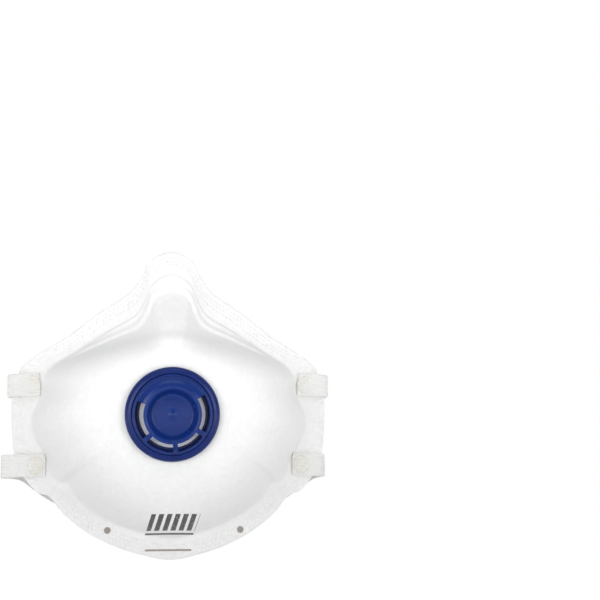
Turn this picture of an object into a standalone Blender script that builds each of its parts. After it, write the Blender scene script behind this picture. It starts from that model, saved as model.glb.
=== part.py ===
"""Disposable dust mask: a moulded cup with an exhalation valve and two flat elastic straps.

Metres, +Z up. The mask stands upright as it is worn: nose up, valve towards -Y, face on the
+Y side. The origin is the middle of the opening that the face fills.
"""

import math

import bmesh
import bpy
import numpy as np
from mathutils import Matrix, Vector

# Cup: the outline of its rim, and how deep it is
RIM_WIDTH = 0.139
RIM_HEIGHT = 0.1315
RIM_TOP = 0.0632         # height of the nose tip of the rim above the origin
RIM_SWEEP = 0.032        # how far the nose tip stands in front of the sides
SIDE_Y = 0.006           # where the sides of the rim lie, fore and aft
FLANGE_WIDTH = 0.0085    # flat sealed edge all the way round
FLANGE_LIFT = 0.0055     # the flange's inner edge stands this far in front of its rim
TAB_EXTRA = 0.0045       # the flange is this much wider where a strap is welded on
TAB_REACH = 0.0110
ARCH_STEP = 0.0018       # the front panel stands this proud of the nose panel
ARCH_HALF_WIDTH = 0.060
ARCH_HEIGHT = 0.033
NOSE_DIMPLE = 0.0018     # bulge beside the nose ridge, one each side

# Layers of the cup, from the outside in
COVER_THICKNESS = 0.0005
FILTER_THICKNESS = 0.0007
LINER_THICKNESS = 0.0007
LAYER_GAP = 0.0003

# Nose clip and nose foam
CLIP_WIDTH = 0.0040
CLIP_THICKNESS = 0.0005
CLIP_SPAN = 50.0         # degrees either side of the nose ridge
CLIP_INSET = 0.0029      # from the flange's inner edge
FOAM_WIDTH = 0.0080
FOAM_THICKNESS = 0.0020
FOAM_SPAN = 44.0
FOAM_GAP = 0.0009

# Valve: where it stands on the cup
VALVE_Y = -0.0495
VALVE_Z = -0.0095
VALVE_TILT = -8.0        # degrees, looking slightly down
VALVE_TURN = 5.3         # degrees, anticlockwise from the front

# Valve radii, from the spigot through the cup outwards and inwards
TUBE_RADIUS = 0.0152
TUBE_WALL = 0.0013
FIT = 0.0003             # clearance between touching pieces
COVER_SEAT = 0.0018      # width of the rebate that the cover's ring clips into
BEZEL_WIDTH = 0.0025
LIP_INSET = 0.0013       # the sealing lip's outer side, inside the bore
LIP_WALL = 0.0006
DIAPHRAGM_OVERLAP = 0.0010
POST_RADIUS = 0.0014
HUB_RADIUS = 0.0023
SPOKE_WIDTH = 0.0013
RING_WIDTH = 0.0030      # clamp ring behind the cup
COVER_GAP = 0.0010       # between the cover's dome and the bezel
CREST_INSET = 0.0024     # the cover's crest, inside the diaphragm's edge
CAP_EDGE = 0.0007        # from the crest out to the slots
DISH_WALL = 0.0025       # from the crest in to the dish

# Valve heights, along its axis from the front of the cup
BEZEL_HEIGHT = 0.0040
BEZEL_ROUND = 0.0020
FLOOR_TOP = 0.0002
FLOOR_BOTTOM = -0.0008
LIP_HEIGHT = 0.0009
SEAT_HEIGHT = 0.0023     # the rebate's shelf
POST_HEIGHT = 0.0034
DIAPHRAGM_THICKNESS = 0.0005
COVER_HEIGHT = 0.0086    # crest of the valve cover
COVER_SKIN = 0.0011
COVER_FOOT = 0.0036      # lower edge of the dome
DISH_SKIN = 0.0009
POST_GAP = 0.0005        # between the post and the dish above it
RING_THICKNESS = 0.0010

# Valve cover's openings, as degrees about the axis
HOOD_HALF_ANGLE = 63.0   # the closed part of the cover, each side of its top
STRUT_ANGLE = 52.75      # side struts, each side of the bottom one
STRUT_WIDTH = 0.0020

# Straps
STRAP_WIDTH = 0.0100
STRAP_THICKNESS = 0.0010
UPPER_STRAP_Z = 0.0085
LOWER_STRAP_Z = -0.0270
ANCHOR_RADIUS = 0.0042
ANCHOR_THICKNESS = 0.0008
STRAP_LIFT = 0.0018      # from the flange to the middle of the strap on it

COLUMNS = 22             # from the nose tip to the chin, on one side
STACK = COVER_THICKNESS + FILTER_THICKNESS + LINER_THICKNESS + 2 * LAYER_GAP
DISH_FLOOR = POST_HEIGHT + POST_GAP + DISH_SKIN
BEZEL_INNER = TUBE_RADIUS + COVER_SEAT
VALVE_RADIUS = BEZEL_INNER + BEZEL_WIDTH
LIP_RADIUS = TUBE_RADIUS - TUBE_WALL - LIP_INSET
DIAPHRAGM_RADIUS = LIP_RADIUS + DIAPHRAGM_OVERLAP
CREST_RADIUS = DIAPHRAGM_RADIUS - CREST_INSET
CAP_RADIUS = CREST_RADIUS + CAP_EDGE
DISH_RADIUS = CREST_RADIUS - DISH_WALL
HOLE_RADIUS = TUBE_RADIUS + FIT
FLAT_RADIUS = VALVE_RADIUS + 0.0010   # the cup is flat a little past the bezel

# Half of the rim, nose to chin: share of the half width, height as a share of the whole from
# the chin up, and how far forward it sweeps as a share of the sweep.
RIM = (
    (0.000, 1.000, 1.000), (0.124, 0.972, 0.985), (0.186, 0.917, 0.940), (0.263, 0.867, 0.845),
    (0.440, 0.814, 0.625), (0.648, 0.738, 0.405), (0.832, 0.686, 0.220), (0.915, 0.655, 0.125),
    (0.960, 0.623, 0.062), (1.000, 0.539, 0.000), (0.984, 0.376, 0.030), (0.927, 0.289, 0.078),
    (0.833, 0.228, 0.172), (0.750, 0.210, 0.265), (0.650, 0.150, 0.390), (0.503, 0.090, 0.530),
    (0.345, 0.047, 0.640), (0.188, 0.019, 0.718), (0.000, 0.000, 0.750),
)


def clear_scene():
    for obj in list(bpy.data.objects):
        bpy.data.objects.remove(obj, do_unlink=True)


def collection(name, hidden=False):
    made = bpy.data.collections.new(name)
    bpy.context.scene.collection.children.link(made)
    made.hide_render = hidden
    return made


def material(name, colour, roughness, metallic=0.0):
    made = bpy.data.materials.new(name)
    made.use_nodes = True
    shader = made.node_tree.nodes["Principled BSDF"]
    shader.inputs["Base Color"].default_value = (*colour, 1.0)
    shader.inputs["Roughness"].default_value = roughness
    shader.inputs["Metallic"].default_value = metallic
    return made


def link(name, data, group, mat=None):
    obj = bpy.data.objects.new(name, data)
    group.objects.link(obj)
    if mat:
        data.materials.append(mat)
    return obj


def smooth_step(low, high, value):
    t = min(1.0, max(0.0, (value - low) / (high - low)))
    return t * t * (3.0 - 2.0 * t)


def spline(points, count):
    """Evenly spaced points along a smooth curve through the given ones."""
    pts = [Vector(p) for p in points]
    padded = [2 * pts[0] - pts[1]] + pts + [2 * pts[-1] - pts[-2]]
    fine = []
    for i in range(1, len(padded) - 2):
        a, b, c, d = padded[i - 1:i + 3]
        for k in range(24):
            t = k / 24
            fine.append(0.5 * (2 * b + (c - a) * t + (2 * a - 5 * b + 4 * c - d) * t * t
                               + (3 * b - a - 3 * c + d) * t ** 3))
    fine.append(pts[-1])
    run = np.cumsum([0.0] + [(q - p).length for p, q in zip(fine, fine[1:])])
    wanted = np.linspace(0.0, run[-1], count)
    axes = [np.interp(wanted, run, [p[i] for p in fine]) for i in range(3)]
    return [Vector(p) for p in zip(*axes)]


def rim_points(count):
    """The +X half of the rim. The ends are mirrored first, so that it crosses x = 0 squarely."""
    half = [
        Vector((x * RIM_WIDTH / 2,
                SIDE_Y - y * RIM_SWEEP,
                RIM_TOP - RIM_HEIGHT * (1.0 - z)))
        for x, z, y in RIM
    ]
    flip = Vector((-1, 1, 1))
    whole = [half[1] * flip] + half + [half[-2] * flip]
    fine = spline(whole, 1200)
    first = min(range(300), key=lambda i: abs(fine[i].x))
    last = min(range(900, 1200), key=lambda i: abs(fine[i].x))
    kept = spline(fine[first:last + 1:6], count)
    kept[0].x = 0.0
    kept[-1].x = 0.0
    return kept


def valve_frame():
    """The valve's local frame in the world: +Z out of its front, +Y up, +X to the right."""
    tilt = Matrix.Rotation(math.radians(90.0 - VALVE_TILT), 4, "X")
    return Matrix.Translation((0.0, VALVE_Y, VALVE_Z)) @ tilt


def around_valve(frame, radius, angle):
    return frame @ Vector((radius * math.sin(angle), radius * math.cos(angle), 0.0))


def cup_shape(x, z):
    """How far back the wall is pushed at (x, z): an arch parts the front panel from the nose."""
    height = z - VALVE_Z
    reach = math.hypot(x / ARCH_HALF_WIDTH, height / ARCH_HEIGHT)
    above = smooth_step(0.0, 0.012, height)
    back = ARCH_STEP * smooth_step(0.90, 1.14, reach) * above
    nose = z - (RIM_TOP - 0.0235)
    across = (abs(x) - 0.0080) / 0.0034
    back -= NOSE_DIMPLE * math.exp(-across * across - (nose / 0.0080) ** 2)
    return back


def tab_width(z):
    """Extra width of the flange at a height, for the straps' weld tabs."""
    upper = (z - UPPER_STRAP_Z) / TAB_REACH
    lower = (z - LOWER_STRAP_Z) / TAB_REACH
    return TAB_EXTRA * (math.exp(-upper * upper) + math.exp(-lower * lower))


def wall_curve(start, out, end, angle):
    """Points down the wall, from the flat round the valve to the flange's inner edge."""
    nose = 1.0 - smooth_step(0.10, 1.05, angle)
    side = math.sin(angle) ** 2
    span = (end - start).length
    down = Vector((0.0, 1.0, 0.0)) * (1.0 - 0.72 * nose) + out * (0.30 + 0.60 * nose - 0.12 * side)
    down.normalize()
    p1 = start + out * span * (0.34 + 0.06 * side)
    p2 = end - down * span * (0.40 - 0.10 * nose)
    fine = []
    for k in range(161):
        t = k / 160
        s = 1.0 - t
        fine.append(start * s ** 3 + p1 * 3 * s * s * t + p2 * 3 * s * t * t + end * t ** 3)
    return fine


def wall_rows(fine, spots):
    """Points at the given distances back from the flange's inner edge, and shares for the rest."""
    run = np.cumsum([0.0] + [(q - p).length for p, q in zip(fine, fine[1:])])
    rest = run[-1] - spots[-1]
    wanted = [rest * k / 6 for k in range(6)] + [run[-1] - d for d in reversed(spots)]
    axes = [np.interp(wanted, run, [p[i] for p in fine]) for i in range(3)]
    return [Vector(p) for p in zip(*axes)]


def band_rows():
    """Rows either side of the nose clip, from the flange's inner edge inwards."""
    near = CLIP_INSET - 0.0004
    far = CLIP_INSET + CLIP_WIDTH + 0.0004
    return (0.0, near - 0.0010, near, far, far + 0.0010)


def cup_grid(raised):
    """Rows of points over the +X half of the cup, hole to rim, one row list per column."""
    frame = valve_frame()
    centre = Vector((0.0, 0.0, VALVE_Z))
    spots = band_rows()
    grid = []
    for point in rim_points(COLUMNS + 1):
        angle = math.atan2(point.x, point.z - VALVE_Z)
        out = Vector((point.x, 0.0, point.z)) - centre
        out.normalize()
        side = math.sin(angle) ** 2
        edge = point - out * (FLANGE_WIDTH * (1.06 - 0.06 * side) + tab_width(point.z))
        edge.y -= FLANGE_LIFT * (0.62 + 0.38 * side)
        start = around_valve(frame, FLAT_RADIUS, angle)
        flat_out = (start - frame.translation).normalized()
        fine = wall_curve(start, flat_out, edge, angle)
        ends = len(fine) - 1
        for k, spot in enumerate(fine):
            fade = smooth_step(0.0, 0.12, k / ends) * smooth_step(0.0, 0.16, 1.0 - k / ends)
            spot.y += cup_shape(spot.x, spot.z) * fade
        rows = [around_valve(frame, HOLE_RADIUS, angle)] + wall_rows(fine, spots)
        rows += [edge.lerp(point, 0.5), point.copy()]
        if point.x == 0.0:
            for spot in rows:
                spot.x = 0.0
        grid.append(rows)
    if raised:
        raise_band(grid)
    return grid


def grid_normals(grid):
    """Outward normals of the whole cup at the grid's points, the mirrored half counted in."""
    flip = Vector((-1, 1, 1))
    wide = [[p * flip for p in grid[1]]] + grid + [[p * flip for p in grid[-2]]]
    normals = []
    for i in range(1, len(wide) - 1):
        column = []
        for j in range(len(wide[i])):
            up = wide[i][max(j - 1, 0)]
            down = wide[i][min(j + 1, len(wide[i]) - 1)]
            normal = (wide[i + 1][j] - wide[i - 1][j]).cross(down - up)
            column.append(normal.normalized())
        normals.append(column)
    sign = -1.0 if normals[0][0].y > 0 else 1.0
    return [[n * sign for n in column] for column in normals]


def nose_angle(column):
    """Angle of a column from the nose ridge, in degrees."""
    return math.degrees(math.atan2(column[-1].x, column[-1].z - VALVE_Z))


def raise_band(grid):
    """Lift the cover over the nose clip, so that the clip lies sealed under it."""
    lift = CLIP_THICKNESS + LAYER_GAP + 0.0003
    normals = grid_normals(grid)
    low = len(grid[0]) - 3 - 3
    for column, normal in zip(grid, normals):
        amount = lift * (1.0 - smooth_step(CLIP_SPAN + 1.0, CLIP_SPAN + 9.0, nose_angle(column)))
        for row in (low, low + 1):
            column[row] = column[row] + normal[row] * amount


def grid_mesh(name, grid):
    mesh = bpy.data.meshes.new(name)
    bm = bmesh.new()
    verts = [[bm.verts.new(p) for p in column] for column in grid]
    for a, b in zip(verts, verts[1:]):
        for i in range(len(a) - 1):
            bm.faces.new((a[i], a[i + 1], b[i + 1], b[i]))
    bm.normal_update()
    if bm.faces[0:1][0].normal.y > 0:
        bmesh.ops.reverse_faces(bm, faces=bm.faces[:])
    bm.to_mesh(mesh)
    bm.free()
    mesh.shade_smooth()
    return mesh


def mirror(obj):
    mod = obj.modifiers.new("Mirror", "MIRROR")
    mod.use_axis = (True, False, False)
    mod.use_clip = True
    mod.merge_threshold = 0.00005


def solidify(obj, depth, thickness):
    """Thickness on the face side, starting at the given depth under the drawn surface."""
    mod = obj.modifiers.new("Solidify", "SOLIDIFY")
    mod.thickness = thickness
    mod.offset = -1.0 - 2.0 * depth / thickness
    mod.use_even_offset = True
    mod.use_rim = True


def cup_layer(name, group, mat, depth, thickness, raised=False):
    obj = link(name, grid_mesh(name, cup_grid(raised)), group, mat)
    mirror(obj)
    solidify(obj, depth, thickness)
    return obj


def nose_strip(name, group, mat, span, inset, width, depth, thickness):
    """A strip along the nose, just inside the flange, at a depth under the cup's surface."""
    grid = cup_grid(False)
    normals = grid_normals(grid)
    edge = len(grid[0]) - 3
    kept = []
    angles = [nose_angle(column) for column in grid]
    stops = sorted([a for a in angles if a < span - 1.0] + [span])
    for angle in stops:
        right = next(i for i, a in enumerate(angles) if a >= angle)
        left = max(right - 1, 0)
        share = 0.0 if right == left else (angle - angles[left]) / (angles[right] - angles[left])
        line = []
        for row in range(2, edge + 1):
            point = grid[left][row].lerp(grid[right][row], share)
            normal = normals[left][row].lerp(normals[right][row], share).normalized()
            line.append((point, normal))
        kept.append(strip_points(line, inset, width, depth))
    kept[0] = [Vector((0.0, p.y, p.z)) for p in kept[0]]
    obj = link(name, grid_mesh(name, kept), group, mat)
    mirror(obj)
    solidify(obj, 0.0, thickness)
    return obj


def strip_points(line, inset, width, depth):
    """Points across the strip, measured back from the flange's inner edge."""
    line = list(reversed(line))
    run = np.cumsum([0.0] + [(b[0] - a[0]).length for a, b in zip(line, line[1:])])
    made = []
    for d in (inset, inset + width / 2, inset + width):
        k = min(int(np.searchsorted(run, d, side="right")) - 1, len(line) - 2)
        t = (d - run[k]) / (run[k + 1] - run[k])
        point = line[k][0].lerp(line[k + 1][0], t)
        normal = line[k][1].lerp(line[k + 1][1], t).normalized()
        made.append(point - normal * depth)
    return made


def turned(name, group, profile, steps=36, mat=None, closed=True):
    """A turned solid from a profile of (radius, height), running down its outer side."""
    mesh = bpy.data.meshes.new(name)
    count = len(profile)
    edges = [(i, i + 1) for i in range(count - 1)]
    if closed:
        edges.append((count - 1, 0))
    mesh.from_pydata([(r, 0.0, z) for r, z in profile], edges, [])
    obj = link(name, mesh, group, mat)
    mod = obj.modifiers.new("Screw", "SCREW")
    mod.axis = "Z"
    mod.steps = steps
    mod.render_steps = steps
    mod.use_merge_vertices = True
    mod.merge_threshold = 0.00001
    mod.use_smooth_shade = True
    return obj


def baked(obj, group):
    """The same object as a plain mesh, with its caps welded, so that it can be cut or joined."""
    bpy.context.view_layer.update()
    graph = bpy.context.evaluated_depsgraph_get()
    mesh = bpy.data.meshes.new_from_object(obj.evaluated_get(graph))
    bm = bmesh.new()
    bm.from_mesh(mesh)
    bmesh.ops.remove_doubles(bm, verts=bm.verts[:], dist=0.000005)
    bmesh.ops.recalc_face_normals(bm, faces=bm.faces[:])
    bm.to_mesh(mesh)
    bm.free()
    name = obj.name
    world = obj.matrix_world.copy()
    bpy.data.objects.remove(obj, do_unlink=True)
    made = link(name, mesh, group)
    made.matrix_world = world
    return made


def boolean(obj, other, operation):
    mod = obj.modifiers.new(operation.title(), "BOOLEAN")
    mod.operation = operation
    mod.solver = "EXACT"
    mod.object = other
    other.hide_render = True
    other.display_type = "WIRE"


def outline_prism(name, group, points, low, high):
    """A flat outline with the given heights, as a mesh."""
    curve = bpy.data.curves.new(name, "CURVE")
    curve.dimensions = "2D"
    curve.fill_mode = "BOTH"
    curve.extrude = (high - low) / 2
    line = curve.splines.new("POLY")
    line.points.add(len(points) - 1)
    for spot, (x, y) in zip(line.points, points):
        spot.co = (x, y, 0.0, 1.0)
    line.use_cyclic_u = True
    obj = link(name, curve, group)
    obj.location.z = (high + low) / 2
    return baked(obj, group)


def sharpen(obj):
    obj.data.shade_smooth()
    obj.data.set_sharp_from_angle(angle=math.radians(32))


def cylinder(name, group, radius, low, high, segments=32, mat=None):
    mesh = bpy.data.meshes.new(name)
    bm = bmesh.new()
    bmesh.ops.create_cone(bm, cap_ends=True, segments=segments, radius1=radius,
                          radius2=radius, depth=high - low)
    bmesh.ops.translate(bm, verts=bm.verts[:], vec=(0.0, 0.0, (high + low) / 2))
    bm.to_mesh(mesh)
    bm.free()
    obj = link(name, mesh, group, mat)
    sharpen(obj)
    return obj


def seat_profile():
    """Cross-section of the valve seat: bezel, spigot, floor, sealing lip and cover rebate."""
    top = BEZEL_HEIGHT
    edge = VALVE_RADIUS
    bottom = -(STACK + FIT + RING_THICKNESS + 0.0001)
    bore = TUBE_RADIUS - TUBE_WALL
    lip_in = LIP_RADIUS - LIP_WALL
    wall = TUBE_RADIUS - FIT
    return [
        (BEZEL_INNER, top), (edge - BEZEL_WIDTH / 2, top - 0.15 * BEZEL_ROUND),
        (edge - 0.0004, top - 0.55 * BEZEL_ROUND), (edge, top - BEZEL_ROUND), (edge, FIT),
        (TUBE_RADIUS, FIT), (TUBE_RADIUS, bottom), (bore, bottom), (bore, FLOOR_BOTTOM),
        (lip_in, FLOOR_BOTTOM), (lip_in, LIP_HEIGHT), (LIP_RADIUS, LIP_HEIGHT),
        (LIP_RADIUS, FLOOR_TOP), (wall, FLOOR_TOP), (wall, SEAT_HEIGHT),
        (BEZEL_INNER, SEAT_HEIGHT),
    ]


def valve_seat(group, cutters, mat):
    obj = turned("valve_seat", group, seat_profile(), mat=mat)
    hub = cylinder("seat_hub", cutters, HUB_RADIUS, FLOOR_BOTTOM, FLOOR_TOP + FIT)
    boolean(obj, hub, "UNION")
    post = cylinder("seat_post", cutters, POST_RADIUS, FLOOR_BOTTOM / 2, POST_HEIGHT, 20)
    boolean(obj, post, "UNION")
    reach = LIP_RADIUS - LIP_WALL / 2
    for k in range(3):
        bar = bar_between("seat_spoke_%d" % k, cutters, HUB_RADIUS / 4, reach, SPOKE_WIDTH,
                          FLOOR_BOTTOM + 0.0001, FLOOR_TOP + 0.0002)
        bar.rotation_euler.z = math.radians(30.0 + 120.0 * k)
        boolean(obj, bar, "UNION")
    return obj


def bar_between(name, group, start, end, width, low, high):
    """A straight bar along +X, from one radius to another."""
    mesh = bpy.data.meshes.new(name)
    bm = bmesh.new()
    bmesh.ops.create_cube(bm, size=1.0)
    bmesh.ops.scale(bm, verts=bm.verts[:], vec=(end - start, width, high - low))
    bmesh.ops.translate(bm, verts=bm.verts[:], vec=((start + end) / 2, 0.0, (low + high) / 2))
    bm.to_mesh(mesh)
    bm.free()
    return link(name, mesh, group)


def cover_profile():
    """The valve cover's dome and dish, from the middle of its front round to its back."""
    top = COVER_HEIGHT
    floor = DISH_FLOOR
    outer = BEZEL_INNER - COVER_GAP
    crest = CREST_RADIUS
    dish = DISH_RADIUS
    dome = top - COVER_FOOT
    inside = COVER_FOOT + (dome - COVER_SKIN) * 0.36
    return [
        (0.0, floor + 0.0005), (dish * 0.5, floor + 0.0004), (dish - 0.0006, floor),
        (dish, floor + 0.0002), (crest - 0.0011, top - 0.0007), (crest - 0.0004, top),
        (crest + 0.0006, top), (crest + 0.0022, top - 0.12 * dome),
        (outer - 0.0011, top - 0.36 * dome), (outer - 0.0003, top - 0.64 * dome),
        (outer, top - 0.88 * dome), (outer, COVER_FOOT), (outer - 0.0005, COVER_FOOT),
        (outer - 0.0009, inside), (outer - 0.0018, inside + 0.24 * dome),
        (crest + 0.0019, top - COVER_SKIN - 0.12 * dome), (crest + 0.0004, top - COVER_SKIN),
        (crest - 0.0003, top - COVER_SKIN - 0.0007), (dish + 0.0008, floor - 0.0006),
        (dish + 0.0002, floor - DISH_SKIN - 0.0001), (0.0, floor - DISH_SKIN),
    ]


def sector_outline(inner, outer, start, end, trim_start, trim_end, steps=8):
    """Outline of an annular sector whose straight sides keep clear of a strut's width."""
    points = []
    for radius, order in ((outer, 1), (inner, -1)):
        low = start + math.asin(trim_start / radius)
        high = end - math.asin(trim_end / radius)
        span = [low + (high - low) * k / steps for k in range(steps + 1)]
        for angle in span[::order]:
            points.append((radius * math.sin(angle), -radius * math.cos(angle)))
    return points


def valve_cover(group, cutters, mat):
    """The domed cover: closed at its top, slotted elsewhere, with three struts and a ring."""
    obj = turned("valve_cover", group, cover_profile(), mat=mat)
    half = STRUT_WIDTH / 2
    strut = math.radians(STRUT_ANGLE)
    hood = math.radians(180.0 - HOOD_HALF_ANGLE)
    slots = ((0.0, strut, half, half), (strut, hood, half, 0.0),
             (-strut, 0.0, half, half), (-hood, -strut, 0.0, half))
    for k, (start, end, trim_start, trim_end) in enumerate(slots):
        outline = sector_outline(CAP_RADIUS, VALVE_RADIUS, start, end, trim_start, trim_end)
        cutter = outline_prism("cover_slot_%d" % k, cutters, outline, SEAT_HEIGHT / 2,
                               COVER_HEIGHT + COVER_FOOT)
        boolean(obj, cutter, "DIFFERENCE")
    outer = BEZEL_INNER - FIT - 0.0001
    inner = TUBE_RADIUS + 0.0001
    low = SEAT_HEIGHT + FIT
    high = low + (COVER_FOOT - SEAT_HEIGHT) + 0.0010
    ring = turned("cover_ring", cutters, [(outer - 0.0005, high), (outer, high - 0.0007),
                                          (outer, low), (inner, low), (inner, high)])
    boolean(obj, baked(ring, cutters), "UNION")
    return obj


def valve_diaphragm(group, mat):
    low = LIP_HEIGHT + FIT
    high = low + DIAPHRAGM_THICKNESS
    edge = DIAPHRAGM_RADIUS
    hole = POST_RADIUS + 0.0004
    profile = [(hole, high), (edge - 0.0002, high), (edge, high - 0.0001),
               (edge, low + 0.0001), (edge - 0.0002, low), (hole, low)]
    return turned("valve_diaphragm", group, profile, mat=mat)


def valve_ring(group, mat):
    high = -(STACK + FIT)
    low = high - RING_THICKNESS
    inner = TUBE_RADIUS + FIT
    outer = inner + RING_WIDTH
    profile = [(inner, high), (outer, high), (outer, low + 0.0003), (outer - 0.0003, low),
               (inner, low)]
    return turned("valve_retaining_ring", group, profile, mat=mat)


def flange_frame(z, side=1.0):
    """A point on the flange's front at the given height, with its outward normal."""
    grid = cup_grid(False)
    normals = grid_normals(grid)
    edge = len(grid[0]) - 3
    best = min(range(4, COLUMNS - 3), key=lambda i: abs(grid[i][edge + 1].z - z))
    other = best + 1 if grid[best][edge + 1].z > z else best - 1
    a, b = grid[best][edge + 1], grid[other][edge + 1]
    share = (z - a.z) / (b.z - a.z)
    inner = grid[best][edge].lerp(grid[other][edge], share)
    outer = grid[best][edge + 2].lerp(grid[other][edge + 2], share)
    flip = Vector((side, 1, 1))
    return inner * flip, outer * flip


# The straps' centrelines, as they leave one side of the flange, fold round its edge, hang
# behind the cup and come back to the other side: x and y, with how far they sag.
UPPER_ROUTE = (
    (-0.0574, -0.0019, 0.0), (-0.0624, 0.0003, 0.0), (-0.0674, 0.0025, 0.0),
    (-0.0704, 0.0046, 0.0), (-0.0710, 0.0074, 0.0), (-0.0695, 0.0105, 0.0),
    (-0.0672, 0.0160, 0.0008), (-0.0640, 0.0270, 0.0036), (-0.0570, 0.0430, 0.0088),
    (-0.0440, 0.0580, 0.0142), (-0.0240, 0.0675, 0.0178), (0.0000, 0.0705, 0.0190),
    (0.0240, 0.0675, 0.0178), (0.0440, 0.0580, 0.0142), (0.0570, 0.0430, 0.0088),
    (0.0640, 0.0270, 0.0036), (0.0672, 0.0160, 0.0008), (0.0695, 0.0105, 0.0),
    (0.0710, 0.0074, 0.0), (0.0704, 0.0046, 0.0), (0.0674, 0.0025, 0.0),
    (0.0624, 0.0003, 0.0), (0.0574, -0.0019, 0.0),
)
LOWER_ROUTE = (
    (-0.0544, -0.0030, 0.0), (-0.0594, -0.0008, 0.0), (-0.0648, 0.0014, 0.0),
    (-0.0702, 0.0036, 0.0), (-0.0732, 0.0062, 0.0), (-0.0726, 0.0096, 0.0),
    (-0.0692, 0.0124, 0.0), (-0.0652, 0.0180, 0.0008), (-0.0610, 0.0280, 0.0036),
    (-0.0530, 0.0420, 0.0088), (-0.0405, 0.0550, 0.0142), (-0.0220, 0.0635, 0.0180),
    (0.0000, 0.0662, 0.0192), (0.0220, 0.0635, 0.0180), (0.0405, 0.0550, 0.0142),
    (0.0530, 0.0420, 0.0088), (0.0606, 0.0275, 0.0036), (0.0646, 0.0165, 0.0008),
    (0.0676, 0.0102, 0.0), (0.0690, 0.0070, 0.0), (0.0682, 0.0040, 0.0),
    (0.0648, 0.0014, 0.0), (0.0594, -0.0008, 0.0), (0.0544, -0.0030, 0.0),
)
UPPER_PIVOT = (0.0, 0.0050, UPPER_STRAP_Z)
LOWER_PIVOT = (0.0, 0.0040, LOWER_STRAP_Z)


def strap(name, group, mat, route, pivot, count=64):
    """A flat elastic band along its route; its object's origin is on the line it swings about."""
    hub = Vector(pivot)
    spots = spline([(x, y, pivot[2] - sag) for x, y, sag in route], count)
    curve = bpy.data.curves.new(name, "CURVE")
    curve.dimensions = "3D"
    curve.twist_mode = "Z_UP"
    curve.fill_mode = "FULL"
    curve.use_fill_caps = True
    curve.extrude = (STRAP_WIDTH - STRAP_THICKNESS) / 2
    curve.bevel_depth = STRAP_THICKNESS / 2
    curve.bevel_resolution = 0
    line = curve.splines.new("POLY")
    line.points.add(len(spots) - 1)
    for spot, point in zip(line.points, spots):
        spot.co = (*(point - hub), 1.0)
    obj = link(name, curve, group, mat)
    obj.location = hub
    return obj


def anchor(name, group, mat, z, side, share):
    """A round weld button over the strap's end, square to the flange."""
    inner, outer = flange_frame(z, side)
    along = (outer - inner) * side
    along.z = 0.0
    along.normalize()
    out = along.cross(Vector((0.0, 0.0, 1.0))).normalized()
    lift = STRAP_LIFT + STRAP_THICKNESS / 2 + FIT
    top = ANCHOR_THICKNESS
    radius = ANCHOR_RADIUS
    profile = [(0.0, top - 0.0001), (radius - 0.0007, top), (radius, top - 0.0004),
               (radius, 0.0), (0.0, 0.0)]
    obj = turned(name, group, profile, steps=20, mat=mat, closed=False)
    spot = inner.lerp(outer, share)
    spot.z = z
    turn = Matrix((along, Vector((0.0, 0.0, 1.0)), out)).transposed()
    if turn.determinant() < 0:
        turn = Matrix((-along, Vector((0.0, 0.0, 1.0)), out)).transposed()
    obj.matrix_world = Matrix.Translation(spot + out * lift) @ turn.to_4x4()
    return obj


def make_cup(group, mats):
    cup_layer("outer_cover", group, mats["cover"], 0.0, COVER_THICKNESS, raised=True)
    depth = COVER_THICKNESS + LAYER_GAP
    cup_layer("filter_layer", group, mats["filter"], depth, FILTER_THICKNESS)
    depth += FILTER_THICKNESS + LAYER_GAP
    cup_layer("inner_liner", group, mats["liner"], depth, LINER_THICKNESS)
    nose_strip("nose_clip", group, mats["clip"], CLIP_SPAN, CLIP_INSET, CLIP_WIDTH,
               -0.0001, CLIP_THICKNESS)
    nose_strip("nose_foam", group, mats["foam"], FOAM_SPAN, 0.0010, FOAM_WIDTH,
               STACK + FOAM_GAP, FOAM_THICKNESS)


def make_valve(group, cutters, mats):
    axis = bpy.data.objects.new("valve_axis", None)
    group.objects.link(axis)
    axis.matrix_world = valve_frame() @ Matrix.Rotation(math.radians(VALVE_TURN), 4, "Z")
    before = set(bpy.data.objects)
    valve_seat(group, cutters, mats["valve"])
    valve_cover(group, cutters, mats["valve"])
    valve_diaphragm(group, mats["diaphragm"])
    valve_ring(group, mats["valve"])
    for obj in set(bpy.data.objects) - before:
        obj.parent = axis


def make_straps(group, mats):
    strap("upper_head_strap", group, mats["strap"], UPPER_ROUTE, UPPER_PIVOT)
    strap("lower_head_strap", group, mats["strap"], LOWER_ROUTE, LOWER_PIVOT)


def make_anchors(group, mats):
    for height, z, share in (("upper", UPPER_STRAP_Z, 0.36), ("lower", LOWER_STRAP_Z, 0.40)):
        for way, side in (("left", -1.0), ("right", 1.0)):
            anchor("%s_%s_strap_anchor" % (height, way), group, mats["weld"], z, side, share)


def main():
    clear_scene()
    group = collection("disposable_dust_mask")
    cutters = collection("cutters", hidden=True)
    mats = {
        "cover": material("cover_nonwoven", (0.86, 0.86, 0.85), 0.9),
        "filter": material("filter_media", (0.80, 0.81, 0.80), 0.95),
        "liner": material("liner_nonwoven", (0.84, 0.84, 0.82), 0.9),
        "clip": material("clip_aluminium", (0.60, 0.61, 0.62), 0.35, 1.0),
        "foam": material("nose_foam", (0.12, 0.13, 0.14), 0.95),
        "valve": material("valve_blue_plastic", (0.030, 0.075, 0.300), 0.32),
        "diaphragm": material("diaphragm_silicone", (0.80, 0.80, 0.79), 0.5),
        "strap": material("strap_elastic", (0.85, 0.85, 0.83), 0.85),
        "weld": material("weld_button", (0.82, 0.81, 0.76), 0.5),
    }
    make_cup(group, mats)
    make_valve(group, cutters, mats)
    make_straps(group, mats)
    make_anchors(group, mats)


main()
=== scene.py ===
"""Looks of the disposable dust mask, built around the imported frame. Metres, +Z up, valve to -Y."""

import math

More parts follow.
